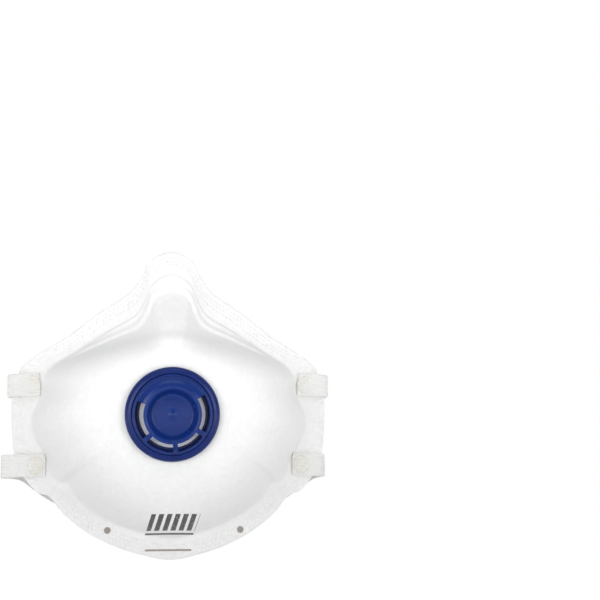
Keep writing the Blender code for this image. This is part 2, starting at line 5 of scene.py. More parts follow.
import bmesh
import bpy
import numpy as np
from mathutils import Matrix, Vector
from mathutils.bvhtree import BVHTree


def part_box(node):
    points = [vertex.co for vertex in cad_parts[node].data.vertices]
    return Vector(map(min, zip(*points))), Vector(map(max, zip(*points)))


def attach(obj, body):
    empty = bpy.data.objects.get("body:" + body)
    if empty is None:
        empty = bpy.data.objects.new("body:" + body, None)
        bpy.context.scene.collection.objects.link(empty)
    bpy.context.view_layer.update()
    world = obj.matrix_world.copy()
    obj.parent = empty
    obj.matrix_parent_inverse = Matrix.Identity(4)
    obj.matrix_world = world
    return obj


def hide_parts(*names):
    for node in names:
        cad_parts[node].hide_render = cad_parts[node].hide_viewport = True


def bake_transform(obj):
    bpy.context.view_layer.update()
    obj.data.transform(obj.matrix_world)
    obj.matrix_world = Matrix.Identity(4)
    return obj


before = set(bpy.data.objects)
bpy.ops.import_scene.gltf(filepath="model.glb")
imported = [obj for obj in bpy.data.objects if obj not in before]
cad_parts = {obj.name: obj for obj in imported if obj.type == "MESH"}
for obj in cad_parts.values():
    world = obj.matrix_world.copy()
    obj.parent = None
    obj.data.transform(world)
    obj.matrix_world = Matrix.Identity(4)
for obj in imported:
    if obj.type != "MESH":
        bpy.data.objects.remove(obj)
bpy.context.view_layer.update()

# The cup's own measures, as in the CAD source
RIM_WIDTH, RIM_HEIGHT, RIM_TOP = 0.139, 0.1315, 0.0632
RIM_SWEEP, SIDE_Y = 0.032, 0.006
FLANGE_WIDTH, FLANGE_LIFT = 0.0085, 0.0055
TAB_EXTRA, TAB_REACH = 0.0045, 0.0110
ARCH_STEP, ARCH_HALF_WIDTH, ARCH_HEIGHT = 0.0018, 0.060, 0.033
NOSE_DIMPLE = 0.0018
CLIP_INSET, CLIP_WIDTH, CLIP_SPAN, CLIP_LIFT = 0.0029, 0.0040, 50.0, 0.0010
VALVE_Y, VALVE_Z, VALVE_TILT, VALVE_TURN = -0.0495, -0.0095, -8.0, 5.3
VALVE_RADIUS, HOLE_RADIUS = 0.0195, 0.0155
CAP_RADIUS, HOOD_HALF_ANGLE, STRUT_ANGLE, STRUT_WIDTH = 0.0119, 63.0, 52.75, 0.0020
UPPER_Z, LOWER_Z = 0.0085, -0.0270

# Depths of the layers' faces below the cup's outer surface
COVER_BACK = 0.00078
FILTER_FRONT, FILTER_BACK = 0.00080, 0.00152
LINER_FRONT, LINER_BACK = 0.00154, 0.00250
COVER_DENT, LINER_DENT = 0.00030, 0.00022

# Printed marks on the cover, as places and half sizes in its front view
PATCH_X, PATCH_Z, PATCH_HALF_WIDTH, PATCH_HALF_HEIGHT = 0.0010, -0.0530, 0.0102, 0.0033
PATCH_SLANT, BAR_PITCH, BAR_WIDTH = 0.32, 0.0034, 0.0021
DOTS_X, DOTS_APART, DOTS_Z, DOT_RADIUS = 0.0017, 0.0284, -0.0557, 0.00145
LINE_X, LINE_Z, LINE_HALF_WIDTH, LINE_HALF_HEIGHT = -0.0009, -0.0643, 0.0098, 0.00040

# Straps and their welds
BAND_HALF_WIDTH, BAND_HALF_THICKNESS, BAND_RIB = 0.0050, 0.00050, 0.00016
WELD_RADIUS, WELD_PITCH, WELD_THICKNESS = 0.0042, 0.0013, 0.00045

# Studio
CAMERA_LENS, CAMERA_SENSOR = 94.0, 36.0
CAMERA_DISTANCE, CAMERA_PITCH, CAMERA_YAW = 0.698, -6.0, -1.2
FRAMING = (-0.217, -0.173)      # where the origin falls in the frame, in frame widths
FLOOR_Z = -0.0950
HORIZON_LIGHT, ZENITH_LIGHT = 0.19, 0.46

RIM = np.array((
    (0.000, 1.000, 1.000), (0.124, 0.972, 0.985), (0.186, 0.917, 0.940), (0.263, 0.867, 0.845),
    (0.440, 0.814, 0.625), (0.648, 0.738, 0.405), (0.832, 0.686, 0.220), (0.915, 0.655, 0.125),
    (0.960, 0.623, 0.062), (1.000, 0.539, 0.000), (0.984, 0.376, 0.030), (0.927, 0.289, 0.078),
    (0.833, 0.228, 0.172), (0.750, 0.210, 0.265), (0.650, 0.150, 0.390), (0.503, 0.090, 0.530),
    (0.345, 0.047, 0.640), (0.188, 0.019, 0.718), (0.000, 0.000, 0.750),
))

UPPER_ROUTE = (
    (-0.0574, -0.0019, 0.0), (-0.0624, 0.0003, 0.0), (-0.0674, 0.0025, 0.0),
    (-0.0704, 0.0046, 0.0), (-0.0710, 0.0074, 0.0), (-0.0695, 0.0105, 0.0),
    (-0.0672, 0.0160, 0.0008), (-0.0640, 0.0270, 0.0036), (-0.0570, 0.0430, 0.0088),
    (-0.0440, 0.0580, 0.0142), (-0.0240, 0.0675, 0.0178), (0.0000, 0.0705, 0.0190),
    (0.0240, 0.0675, 0.0178), (0.0440, 0.0580, 0.0142), (0.0570, 0.0430, 0.0088),
    (0.0640, 0.0270, 0.0036), (0.0672, 0.0160, 0.0008), (0.0695, 0.0105, 0.0),
    (0.0710, 0.0074, 0.0), (0.0704, 0.0046, 0.0), (0.0674, 0.0025, 0.0),
    (0.0624, 0.0003, 0.0), (0.0574, -0.0019, 0.0),
)
LOWER_ROUTE = (
    (-0.0544, -0.0030, 0.0), (-0.0594, -0.0008, 0.0), (-0.0648, 0.0014, 0.0),
    (-0.0702, 0.0036, 0.0), (-0.0732, 0.0062, 0.0), (-0.0726, 0.0096, 0.0),
    (-0.0692, 0.0124, 0.0), (-0.0652, 0.0180, 0.0008), (-0.0610, 0.0280, 0.0036),
    (-0.0530, 0.0420, 0.0088), (-0.0405, 0.0550, 0.0142), (-0.0220, 0.0635, 0.0180),
    (0.0000, 0.0662, 0.0192), (0.0220, 0.0635, 0.0180), (0.0405, 0.0550, 0.0142),
    (0.0530, 0.0420, 0.0088), (0.0606, 0.0275, 0.0036), (0.0646, 0.0165, 0.0008),
    (0.0676, 0.0102, 0.0), (0.0690, 0.0070, 0.0), (0.0682, 0.0040, 0.0),
    (0.0648, 0.0014, 0.0), (0.0594, -0.0008, 0.0), (0.0544, -0.0030, 0.0),
)


# ---------------------------------------------------------------- camera, light, floor

def make_camera():
    """Seen from slightly below and from the left; the mask stands left of and below the middle."""
    data = bpy.data.cameras.new("camera")
    data.lens = CAMERA_LENS
    data.sensor_width = CAMERA_SENSOR
    data.clip_start = 0.01
    data.clip_end = 60.0
    cam = bpy.data.objects.new("camera", data)
    bpy.context.scene.collection.objects.link(cam)
    turn = Matrix.Rotation(math.radians(CAMERA_YAW), 4, "Z")
    pitch = math.radians(CAMERA_PITCH)
    back = turn @ Vector((0.0, -math.cos(pitch), math.sin(pitch)))
    cam.location = back * CAMERA_DISTANCE
    aside = Vector((*FRAMING, -CAMERA_LENS / CAMERA_SENSOR)).normalized()
    look = (-back).to_track_quat("-Z", "Y")
    cam.rotation_mode = "QUATERNION"
    cam.rotation_quaternion = look @ aside.rotation_difference(Vector((0.0, 0.0, -1.0)))
    bpy.context.scene.camera = cam


def area_light(name, place, target, size, power, colour=(1.0, 1.0, 1.0)):
    data = bpy.data.lights.new(name, "AREA")
    data.shape = "RECTANGLE"
    data.size, data.size_y = size
    data.energy = power
    data.color = colour
    lamp = bpy.data.objects.new(name, data)
    bpy.context.scene.collection.objects.link(lamp)
    lamp.location = place
    aim = Vector(target) - Vector(place)
    lamp.rotation_mode = "QUATERNION"
    lamp.rotation_quaternion = aim.to_track_quat("-Z", "Y")


def make_world():
    """A white backdrop, and light that is bright overhead and dim near the horizon."""
    scene = bpy.context.scene
    scene.view_settings.view_transform = "Standard"
    world = bpy.data.worlds.new("studio")
    scene.world = world
    world.use_nodes = True
    tree = world.node_tree
    tree.nodes.clear()
    out = tree.nodes.new("ShaderNodeOutputWorld")
    mix = tree.nodes.new("ShaderNodeMixShader")
    path = tree.nodes.new("ShaderNodeLightPath")
    place = tree.nodes.new("ShaderNodeTexCoord")
    axes = tree.nodes.new("ShaderNodeSeparateXYZ")
    sky = tree.nodes.new("ShaderNodeMapRange")
    seen = tree.nodes.new("ShaderNodeBackground")
    lit = tree.nodes.new("ShaderNodeBackground")
    seen.inputs["Color"].default_value = (1.0, 1.0, 1.0, 1.0)
    seen.inputs["Strength"].default_value = 1.0
    lit.inputs["Color"].default_value = (0.97, 0.985, 1.0, 1.0)
    sky.interpolation_type = "SMOOTHSTEP"
    sky.inputs["From Min"].default_value = -0.1
    sky.inputs["From Max"].default_value = 0.9
    sky.inputs["To Min"].default_value = HORIZON_LIGHT
    sky.inputs["To Max"].default_value = ZENITH_LIGHT
    tree.links.new(place.outputs["Generated"], axes.inputs[0])
    tree.links.new(axes.outputs["Z"], sky.inputs["Value"])
    tree.links.new(sky.outputs["Result"], lit.inputs["Strength"])
    tree.links.new(path.outputs["Is Camera Ray"], mix.inputs["Fac"])
    tree.links.new(lit.outputs[0], mix.inputs[1])
    tree.links.new(seen.outputs[0], mix.inputs[2])
    tree.links.new(mix.outputs[0], out.inputs["Surface"])


def make_floor():
    """Pale floor that brightens to the backdrop's white away from the object."""
    bpy.ops.mesh.primitive_plane_add(size=40.0, location=(0.0, 0.0, FLOOR_Z))
    floor = bpy.context.object
    floor.name = "studio_floor"
    mat = bpy.data.materials.new("floor_white")
    mat.use_nodes = True
    tree = mat.node_tree
    shader = tree.nodes["Principled BSDF"]
    shader.inputs["Base Color"].default_value = (0.90, 0.90, 0.90, 1.0)
    shader.inputs["Roughness"].default_value = 0.9
    shader.inputs["Specular IOR Level"].default_value = 0.0
    shader.inputs["Emission Color"].default_value = (1.0, 1.0, 1.0, 1.0)
    place = tree.nodes.new("ShaderNodeTexCoord")
    away = tree.nodes.new("ShaderNodeVectorMath")
    away.operation = "LENGTH"
    rise = tree.nodes.new("ShaderNodeMapRange")
    rise.interpolation_type = "SMOOTHSTEP"
    rise.inputs["From Min"].default_value = 0.12
    rise.inputs["From Max"].default_value = 0.42
    rise.inputs["To Max"].default_value = 1.0
    tree.links.new(place.outputs["Object"], away.inputs[0])
    tree.links.new(away.outputs["Value"], rise.inputs["Value"])
    tree.links.new(rise.outputs["Result"], shader.inputs["Emission Strength"])
    floor.data.materials.append(mat)


def make_studio():
    make_world()
    middle = (0.0, -0.01, 0.0)
    area_light("left_key", (-0.50, -0.80, -0.02), middle, (0.50, 0.50), 3.5)
    area_light("right_fill", (0.54, -0.78, -0.04), middle, (0.40, 0.40), 2.9)
    area_light("overhead", (0.0, -0.50, 0.66), middle, (0.50, 0.30), 1.0)
    area_light("back_fill", (0.10, 0.75, 0.35), middle, (0.80, 0.60), 2.6)
    make_floor()


# ---------------------------------------------------------------- curves and grids

def spline(points, count, fine=24):
    """Evenly spaced points along a smooth curve through the given ones."""
    pts = np.asarray(points, float)
    pad = np.vstack([2 * pts[0] - pts[1], pts, 2 * pts[-1] - pts[-2]])
    t = (np.arange(fine) / fine)[:, None]
    runs = []
    for i in range(1, len(pad) - 2):
        a, b, c, d = pad[i - 1:i + 3]
        runs.append(0.5 * (2 * b + (c - a) * t + (2 * a - 5 * b + 4 * c - d) * t ** 2
                           + (3 * b - a - 3 * c + d) * t ** 3))
    curve = np.vstack(runs + [pts[-1:]])
    return along(curve, np.linspace(0.0, length_of(curve), count))


def steps_of(curve):
    return np.concatenate([[0.0], np.cumsum(np.linalg.norm(np.diff(curve, axis=0), axis=1))])


def length_of(curve):
    return steps_of(curve)[-1]


def along(curve, wanted):
    run = steps_of(curve)
    return np.stack([np.interp(wanted, run, curve[:, i]) for i in range(3)], axis=1)


def smooth_step(low, high, value):
    t = np.clip((value - low) / (high - low), 0.0, 1.0)
    return t * t * (3.0 - 2.0 * t)


def rim_points(count):
    half = np.stack([RIM[:, 0] * RIM_WIDTH / 2, SIDE_Y - RIM[:, 2] * RIM_SWEEP,
                     RIM_TOP - RIM_HEIGHT * (1.0 - RIM[:, 1])], axis=1)
    flip = np.array((-1.0, 1.0, 1.0))
    fine = spline(np.vstack([half[1] * flip, half, half[-2] * flip]), 1200)
    first = int(np.argmin(np.abs(fine[:300, 0])))
    last = 900 + int(np.argmin(np.abs(fine[900:, 0])))
    kept = spline(fine[first:last + 1:6], count)
    kept[0, 0] = kept[-1, 0] = 0.0
    return kept


def valve_matrix(turned=False):
    tilt = Matrix.Rotation(math.radians(90.0 - VALVE_TILT), 4, "X")
    made = Matrix.Translation((0.0, VALVE_Y, VALVE_Z)) @ tilt
    return made @ Matrix.Rotation(math.radians(VALVE_TURN), 4, "Z") if turned else made


def around_valve(radius, angle):
    tilt = math.radians(VALVE_TILT)
    up = np.array((0.0, math.sin(tilt), math.cos(tilt)))
    right = np.array((1.0, 0.0, 0.0))
    middle = np.array((0.0, VALVE_Y, VALVE_Z))
    return middle + radius * (np.outer(np.sin(angle), right) + np.outer(np.cos(angle), up))


def cup_shape(x, z):
    """How far back the wall is pushed: an arch parts the front panel from the nose."""
    height = z - VALVE_Z
    reach = np.hypot(x / ARCH_HALF_WIDTH, height / ARCH_HEIGHT)
    back = ARCH_STEP * smooth_step(0.93, 1.10, reach) * smooth_step(0.0, 0.012, height)
    across = (np.abs(x) - 0.0080) / 0.0034
    nose = (z - (RIM_TOP - 0.0235)) / 0.0080
    return back - NOSE_DIMPLE * np.exp(-across ** 2 - nose ** 2)


def unit(v):
    return v / np.maximum(np.linalg.norm(v, axis=-1, keepdims=True), 1e-12)


class Cup:
    """The cup's outer surface as a fine grid: columns right round it, rows from hole to rim."""

    def __init__(self, half=702, wall=34, near=22, flange=25):
        rim = rim_points(half + 1)
        x, z = rim[:, 0], rim[:, 2]
        angle = np.arctan2(x, z - VALVE_Z)
        angle[-1] = math.pi
        side = (np.sin(angle) ** 2)[:, None]
        out = unit(np.stack([x, 0 * x, z - VALVE_Z], axis=1))
        tabs = np.exp(-((z - UPPER_Z) / TAB_REACH) ** 2)
        tabs = TAB_EXTRA * (tabs + np.exp(-((z - LOWER_Z) / TAB_REACH) ** 2))[:, None]
        edge = rim - out * (FLANGE_WIDTH * (1.06 - 0.06 * side) + tabs)
        edge[:, 1:2] -= FLANGE_LIFT * (0.62 + 0.38 * side)
        start = around_valve(VALVE_RADIUS + 0.0010, angle)
        flat = unit(start - np.array((0.0, VALVE_Y, VALVE_Z)))
        curves = self.walls(start, flat, edge, angle)
        near_d = np.linspace(0.0095, 0.0, near + 1)
        rows, depths = [], []
        for curve in curves:
            total = length_of(curve)
            far = np.linspace(0.0, total - near_d[0], wall + 1)[:-1]
            wanted = np.concatenate([far, total - near_d])
            rows.append(along(curve, wanted))
            depths.append(total - wanted)
        body = np.stack(rows)
        inset = np.stack(depths)
        ring = np.stack([around_valve(r, angle) for r in
                         (HOLE_RADIUS, HOLE_RADIUS + 0.0012, VALVE_RADIUS - 0.0010)], axis=1)
        share = (np.arange(1, flange + 1) / flange)[None, :, None]
        sheet = edge[:, None] + (rim - edge)[:, None] * share
        width = np.linalg.norm(rim - edge, axis=1)
        grid = np.concatenate([ring, body, sheet], axis=1)
        self.inset = np.concatenate(
            [np.full((half + 1, 3), 0.2), inset, -width[:, None] * share[:, :, 0]], axis=1)
        self.to_rim = np.maximum(width[:, None] + self.inset, 0.0)
        self.edge_row = 3 + body.shape[1] - 1
        grid[[0, -1], :, 0] = 0.0
        self.half = half
        grid, self.inset, self.to_rim = (self.mirrored(a) for a in (grid, self.inset, self.to_rim))
        self.nose = self.mirrored(np.degrees(angle)[:, None])[:, 0]
        self.run = np.concatenate([[0.0], np.cumsum(np.linalg.norm(np.diff(grid[:, -1], axis=0),
                                                                   axis=1))])
        self.loop = self.run[-1] + np.linalg.norm(grid[0, -1] - grid[-1, -1])
        self.grid = self.soften(grid)
        self.normal = normals_of(self.grid)
        # How much of the stack is left: the layers are welded thin along the flange.
        self.pinch = 1.0 - 0.48 * smooth_step(0.0005, 0.0030, -self.inset)

    @staticmethod
    def walls(start, flat, edge, angle):
        nose = (1.0 - smooth_step(0.10, 1.05, angle))[:, None]
        side = (np.sin(angle) ** 2)[:, None]
        span = np.linalg.norm(edge - start, axis=1, keepdims=True)
        down = np.array((0.0, 1.0, 0.0)) * (1.0 - 0.72 * nose)
        down = unit(down + flat * (0.30 + 0.60 * nose - 0.12 * side))
        p1 = start + flat * span * (0.34 + 0.06 * side)
        p2 = edge - down * span * (0.40 - 0.10 * nose)
        t = np.linspace(0.0, 1.0, 161)[None, :, None]
        s = 1.0 - t
        curve = (start[:, None] * s ** 3 + p1[:, None] * 3 * s * s * t
                 + p2[:, None] * 3 * s * t * t + edge[:, None] * t ** 3)
        fade = smooth_step(0.0, 0.12, t[:, :, 0]) * smooth_step(0.0, 0.16, 1.0 - t[:, :, 0])
        curve[:, :, 1] += cup_shape(curve[:, :, 0], curve[:, :, 2]) * fade
        return curve

    @staticmethod
    def mirrored(half):
        """The +X half followed by its mirror image, going right round once."""
        other = half[-2:0:-1].copy()
        if half.ndim == 3:
            other[..., 0] *= -1.0
        return np.concatenate([half, other])

    def soften(self, grid):
        """Round the corner where the wall turns into the flange, and the wall's own start."""
        for middle, reach, turns in ((self.edge_row, 5, 10), (3, 2, 4)):
            rows = np.arange(middle - reach, middle + reach + 1)
            for _ in range(turns):
                around = (grid[:, rows - 1] + grid[:, rows + 1]) / 2
                grid[:, rows] = grid[:, rows] * 0.5 + around * 0.5
        return grid


def normals_of(grid):
    across = np.roll(grid, -1, axis=0) - np.roll(grid, 1, axis=0)
    down = np.empty_like(grid)
    down[:, 1:-1] = grid[:, 2:] - grid[:, :-2]
    down[:, 0] = grid[:, 1] - grid[:, 0]
    down[:, -1] = grid[:, -1] - grid[:, -2]
    normal = unit(np.cross(across, down))
    return normal if normal[0, 1, 1] < 0 else -normal


def waves(points, scale, seed):
    """Smooth unevenness, from a few crossing waves of fixed directions."""
    rng = np.random.default_rng(seed)
    total = np.zeros(points.shape[:-1])
    for _ in range(7):
        way = rng.normal(size=3)
        way /= np.linalg.norm(way)
        total += np.sin(points @ way * (2 * math.pi / scale) * rng.uniform(0.6, 1.6)
                        + rng.uniform(0, 6.28))
    return total / 7


def weld_dots(cup, depth):
    """Three staggered rows of small dents pressed into the flange by the sealing tool."""
    pitch_count = round(cup.loop / 0.0021)
    pitch = cup.loop / pitch_count
    dents = np.zeros(cup.inset.shape)
    for k, line in enumerate((0.0020, 0.0038, 0.0056)):
        u = (cup.run / pitch + 0.5 * k) % 1.0 - 0.5
        r = np.hypot((u * pitch)[:, None], cup.to_rim - line)
        dents += np.exp(-(r / 0.00062) ** 4)
    return dents * depth * (cup.inset < -0.0006)


def clip_band(cup):
    """The cover's raised band over the nose clip."""
    inner = CLIP_INSET + CLIP_WIDTH
    d = cup.inset
    band = smooth_step(CLIP_INSET - 0.0022, CLIP_INSET - 0.0001, d)
    band *= 1.0 - smooth_step(inner + 0.0001, inner + 0.0030, d)
    ends = 1.0 - smooth_step(CLIP_SPAN - 1.0, CLIP_SPAN + 9.0, cup.nose)
    return CLIP_LIFT * band * ends[:, None]


# ---------------------------------------------------------------- mesh helpers

def new_object(name, mesh, mat, smooth=True):
    obj = bpy.data.objects.new(name, mesh)
    bpy.context.scene.collection.objects.link(obj)
    mesh.materials.append(mat)
    if smooth:
        mesh.shade_smooth()
    return obj


def mesh_of(name, points, faces):
    mesh = bpy.data.meshes.new(name)
    mesh.from_pydata([tuple(p) for p in points], [], faces)
    mesh.validate()
    mesh.update()
    return mesh


def sheet_faces(first, columns, rows, flip):
    """Quads of a closed band of columns; columns x rows vertices start at index first."""
    faces = []
    for i in range(columns):
        a, b = first + i * rows, first + ((i + 1) % columns) * rows
        for j in range(rows - 1):
            quad = (a + j, a + j + 1, b + j + 1, b + j)
            faces.append(quad[::-1] if flip else quad)
    return faces


def stitch(fine, fine_rows, fine_row, coarse, coarse_rows, coarse_row, columns, ratio, flip):
    """Faces between a fine row of vertices and a coarse one that shares every ratio-th column."""
    faces = []
    total = columns * ratio
    for i in range(columns):
        low = coarse + i * coarse_rows + coarse_row
        high = coarse + ((i + 1) % columns) * coarse_rows + coarse_row
        edge = [fine + ((i * ratio + k) % total) * fine_rows + fine_row
                for k in range(ratio + 1)]
        loop = [low] + edge + [high]
        faces.append(tuple(loop[::-1] if flip else loop))
    return faces


def layer_mesh(name, cup, fine, coarse, fine_is_front):
    """A closed layer: one side fine along the flange, the other side coarse all over."""
    ratio = 3
    split = cup.edge_row - 4
    columns = len(cup.grid) // ratio
    a = fine[:, split:]
    b = fine[::ratio, :split]
    keep = np.unique(np.concatenate([np.arange(0, cup.grid.shape[1], 2),
                                     [cup.grid.shape[1] - 1]]))
    c = coarse[::ratio][:, keep]
    rows = (a.shape[1], b.shape[1], c.shape[1])
    starts = (0, a.shape[0] * rows[0], a.shape[0] * rows[0] + columns * rows[1])
    points = np.concatenate([a.reshape(-1, 3), b.reshape(-1, 3), c.reshape(-1, 3)])
    flip = not fine_is_front
    faces = sheet_faces(starts[0], len(fine), rows[0], flip)
    faces += sheet_faces(starts[1], columns, rows[1], flip)
    faces += sheet_faces(starts[2], columns, rows[2], not flip)
    faces += stitch(starts[0], rows[0], 0, starts[1], rows[1], rows[1] - 1, columns, ratio, not flip)
    faces += stitch(starts[0], rows[0], rows[0] - 1, starts[2], rows[2], rows[2] - 1, columns,
                    ratio, flip)
    for i in range(columns):
        j = (i + 1) % columns
        quad = (starts[1] + i * rows[1], starts[1] + j * rows[1],
                starts[2] + j * rows[2], starts[2] + i * rows[2])
        faces.append(quad if not flip else quad[::-1])
    mesh = mesh_of(name, points, faces)
    outwards(mesh)
    return mesh


def turned(name, profile, mat, steps=144, matrix=None, closed=True):
    """A solid of revolution about +Z from (radius, height) points down its outer side."""
    points, rings = [], []
    for r, z in profile:
        if r < 1e-7:
            rings.append([len(points)])
            points.append((0.0, 0.0, z))
            continue
        rings.append(list(range(len(points), len(points) + steps)))
        for k in range(steps):
            a = 2 * math.pi * k / steps
            points.append((r * math.cos(a), r * math.sin(a), z))
    pairs = list(zip(rings, rings[1:] + ([rings[0]] if closed else [])))
    faces = []
    for a, b in pairs:
        for k in range(steps):
            n = (k + 1) % steps
            if len(a) == 1 and len(b) == 1:
                continue
            if len(a) == 1:
                faces.append((a[0], b[k], b[n]))
            elif len(b) == 1:
                faces.append((a[k], b[0], a[n]))
            else:
                faces.append((a[k], b[k], b[n], a[n]))
    mesh = mesh_of(name, points, faces)
    if matrix is not None:
        mesh.transform(matrix)
    obj = new_object(name, mesh, mat)
    outwards(obj.data)
    return obj


def outwards(mesh):
    bm = bmesh.new()
    bm.from_mesh(mesh)
    bmesh.ops.recalc_face_normals(bm, faces=bm.faces[:])
    bm.to_mesh(mesh)
    bm.free()


def filleted(points, radii, steps=4):
    """A closed outline with its corners rounded: radii is one number, or one for each corner."""
    pts = [Vector((x, y)) for x, y in points]
    count = len(pts)
    if not hasattr(radii, "__len__"):
        radii = [radii] * count
    made = []
    for i, point in enumerate(pts):
        before = pts[i - 1] - point
        after = pts[(i + 1) % count] - point
        reach = min(radii[i], before.length * 0.45, after.length * 0.45)
        if reach < 1e-6:
            made.append((point.x, point.y))
            continue
        a = point + before.normalized() * reach
        b = point + after.normalized() * reach
        for k in range(steps + 1):
            t = k / steps
            spot = a * (1 - t) ** 2 + point * 2 * t * (1 - t) + b * t * t
            made.append((spot.x, spot.y))
    return made


def cut(obj, cutters, operation="DIFFERENCE"):
    """Applies Booleans in place, and removes the cutters."""
    for cutter in cutters:
        mod = obj.modifiers.new("cut", "BOOLEAN")
        mod.operation = operation
        mod.solver = "EXACT"
        mod.object = cutter
    bake(obj)
    for cutter in cutters:
        bpy.data.objects.remove(cutter, do_unlink=True)


def bake(obj):
    bpy.context.view_layer.update()
    graph = bpy.context.evaluated_depsgraph_get()
    mesh = bpy.data.meshes.new_from_object(obj.evaluated_get(graph))
    old = obj.data
    obj.modifiers.clear()
    obj.data = mesh
    bpy.data.meshes.remove(old)


def soft_edges(obj, width, segments=2, limit=35.0):
    """Small rounds on the sharp edges, applied, with the shading kept smooth across them."""
    mod = obj.modifiers.new("edges", "BEVEL")
    mod.width = width
    mod.segments = segments
    mod.limit_method = "ANGLE"
    mod.angle_limit = math.radians(limit)
    mod.use_clamp_overlap = True
    bake(obj)
    obj.data.shade_smooth()
    obj.data.set_sharp_from_angle(angle=math.radians(50))


def prism(name, outline, low, high, mat):
    """A flat outline between two heights."""
    bm = bmesh.new()
    verts = [bm.verts.new((x, y, low)) for x, y in outline]
    face = bm.faces.new(verts)
    made = bmesh.ops.extrude_face_region(bm, geom=[face])
    moved = [v for v in made["geom"] if isinstance(v, bmesh.types.BMVert)]
    bmesh.ops.translate(bm, verts=moved, vec=(0.0, 0.0, high - low))
    bmesh.ops.recalc_face_normals(bm, faces=bm.faces[:])
    mesh = bpy.data.meshes.new(name)
    bm.to_mesh(mesh)
    bm.free()
    return new_object(name, mesh, mat, smooth=False)


# ---------------------------------------------------------------- materials

class Paint:
    """A Principled material with short calls for the nodes that these surfaces use."""

    def __init__(self, name, colour, roughness, metallic=0.0):
        self.mat = bpy.data.materials.new(name)
        self.mat.use_nodes = True
        self.tree = self.mat.node_tree
        self.shader = self.tree.nodes["Principled BSDF"]
        self.shader.inputs["Base Color"].default_value = (*colour, 1.0)
        self.shader.inputs["Roughness"].default_value = roughness
        self.shader.inputs["Metallic"].default_value = metallic
        self.place = self.tree.nodes.new("ShaderNodeTexCoord").outputs["Object"]

    def link(self, a, b):
        self.tree.links.new(a, b)

    def math(self, operation, a, b=0.0, c=None):
        node = self.tree.nodes.new("ShaderNodeMath")
        node.operation = operation
        for i, value in enumerate((a, b) if c is None else (a, b, c)):
            if hasattr(value, "links"):
                self.link(value, node.inputs[i])
            else:
                node.inputs[i].default_value = value
        return node.outputs[0]

    def scaled(self, scale, turn=(0.0, 0.0, 0.0)):
        node = self.tree.nodes.new("ShaderNodeMapping")
        node.inputs["Scale"].default_value = scale
        node.inputs["Rotation"].default_value = turn
        self.link(self.place, node.inputs["Vector"])
        return node.outputs["Vector"]

    def noise(self, scale, detail=3.0, rough=0.55, vector=None, distort=0.0):
        node = self.tree.nodes.new("ShaderNodeTexNoise")
        node.inputs["Scale"].default_value = scale
        node.inputs["Detail"].default_value = detail
        node.inputs["Roughness"].default_value = rough
        node.inputs["Distortion"].default_value = distort
        self.link(vector or self.place, node.inputs["Vector"])
        return node.outputs["Fac"]

    def cells(self, scale, feature="F1", vector=None):
        node = self.tree.nodes.new("ShaderNodeTexVoronoi")
        node.feature = feature
        node.inputs["Scale"].default_value = scale
        self.link(vector or self.place, node.inputs["Vector"])
        return node.outputs["Distance"]

    def ramp(self, value, stops):
        node = self.tree.nodes.new("ShaderNodeValToRGB")
        ends = node.color_ramp.elements
        for k, (spot, colour) in enumerate(stops):
            stop = ends[k] if k < 2 else ends.new(spot)
            stop.position = spot
            stop.color = (*colour, 1.0)
        self.link(value, node.inputs["Fac"])
        return node.outputs["Color"]

    def mix(self, fac, a, b):
        node = self.tree.nodes.new("ShaderNodeMix")
        node.data_type = "RGBA"
        for socket, value in ((node.inputs[0], fac), (node.inputs[6], a), (node.inputs[7], b)):
            if hasattr(value, "links"):
                self.link(value, socket)
            else:
                socket.default_value = value if isinstance(value, float) else (*value, 1.0)
        return node.outputs[2]

    def colour(self, value):
        self.link(value, self.shader.inputs["Base Color"])

    def roughness(self, value, low, high):
        node = self.tree.nodes.new("ShaderNodeMapRange")
        node.inputs["To Min"].default_value = low
        node.inputs["To Max"].default_value = high
        self.link(value, node.inputs["Value"])
        self.link(node.outputs["Result"], self.shader.inputs["Roughness"])

    def bump(self, *layers):
        """Each layer is (height, strength, distance in metres), the coarsest first."""
        last = None
        for height, strength, distance in layers:
            node = self.tree.nodes.new("ShaderNodeBump")
            node.inputs["Strength"].default_value = strength
            node.inputs["Distance"].default_value = distance
            self.link(height, node.inputs["Height"])
            if last is not None:
                self.link(last, node.inputs["Normal"])
            last = node.outputs["Normal"]
        self.link(last, self.shader.inputs["Normal"])

    def xyz(self):
        node = self.tree.nodes.new("ShaderNodeSeparateXYZ")
        self.link(self.place, node.inputs[0])
        return node.outputs


def fibres(paint, size, strands):
    """Height of a web of fine fibres lying every way: long thin noise, turned and combined."""
    total = None
    for k in range(strands):
        turn = (0.3 * k, 0.5 + 0.9 * k, 2.1 * k)
        streak = paint.noise(1.0, 2.0, 0.6, paint.scaled((size, size, size * 0.09), turn), 0.6)
        total = streak if total is None else paint.math("MAXIMUM", total, streak)
    return total


def nonwoven(name, colour, deep, size=2600.0, strength=0.5, sheen=0.25):
    paint = Paint(name, colour, 0.88)
    web = fibres(paint, size, 4)
    clumps = paint.noise(420.0, 4.0, 0.6)
    tone = paint.math("MULTIPLY_ADD", web, 0.65, paint.math("MULTIPLY", clumps, 0.35))
    base = paint.ramp(tone, ((0.32, deep), (0.62, colour)))
    paint.bump((clumps, 0.25, 0.00022), (web, strength, 0.00010))
    paint.roughness(web, 0.96, 0.80)
    paint.shader.inputs["Sheen Weight"].default_value = sheen
    paint.shader.inputs["Sheen Roughness"].default_value = 0.5
    return paint, base


def box_mask(paint, u, v, half_u, half_v):
    inside = paint.math("LESS_THAN", paint.math("ABSOLUTE", u), half_u)
    return paint.math("MULTIPLY", inside, paint.math("LESS_THAN", paint.math("ABSOLUTE", v), half_v))


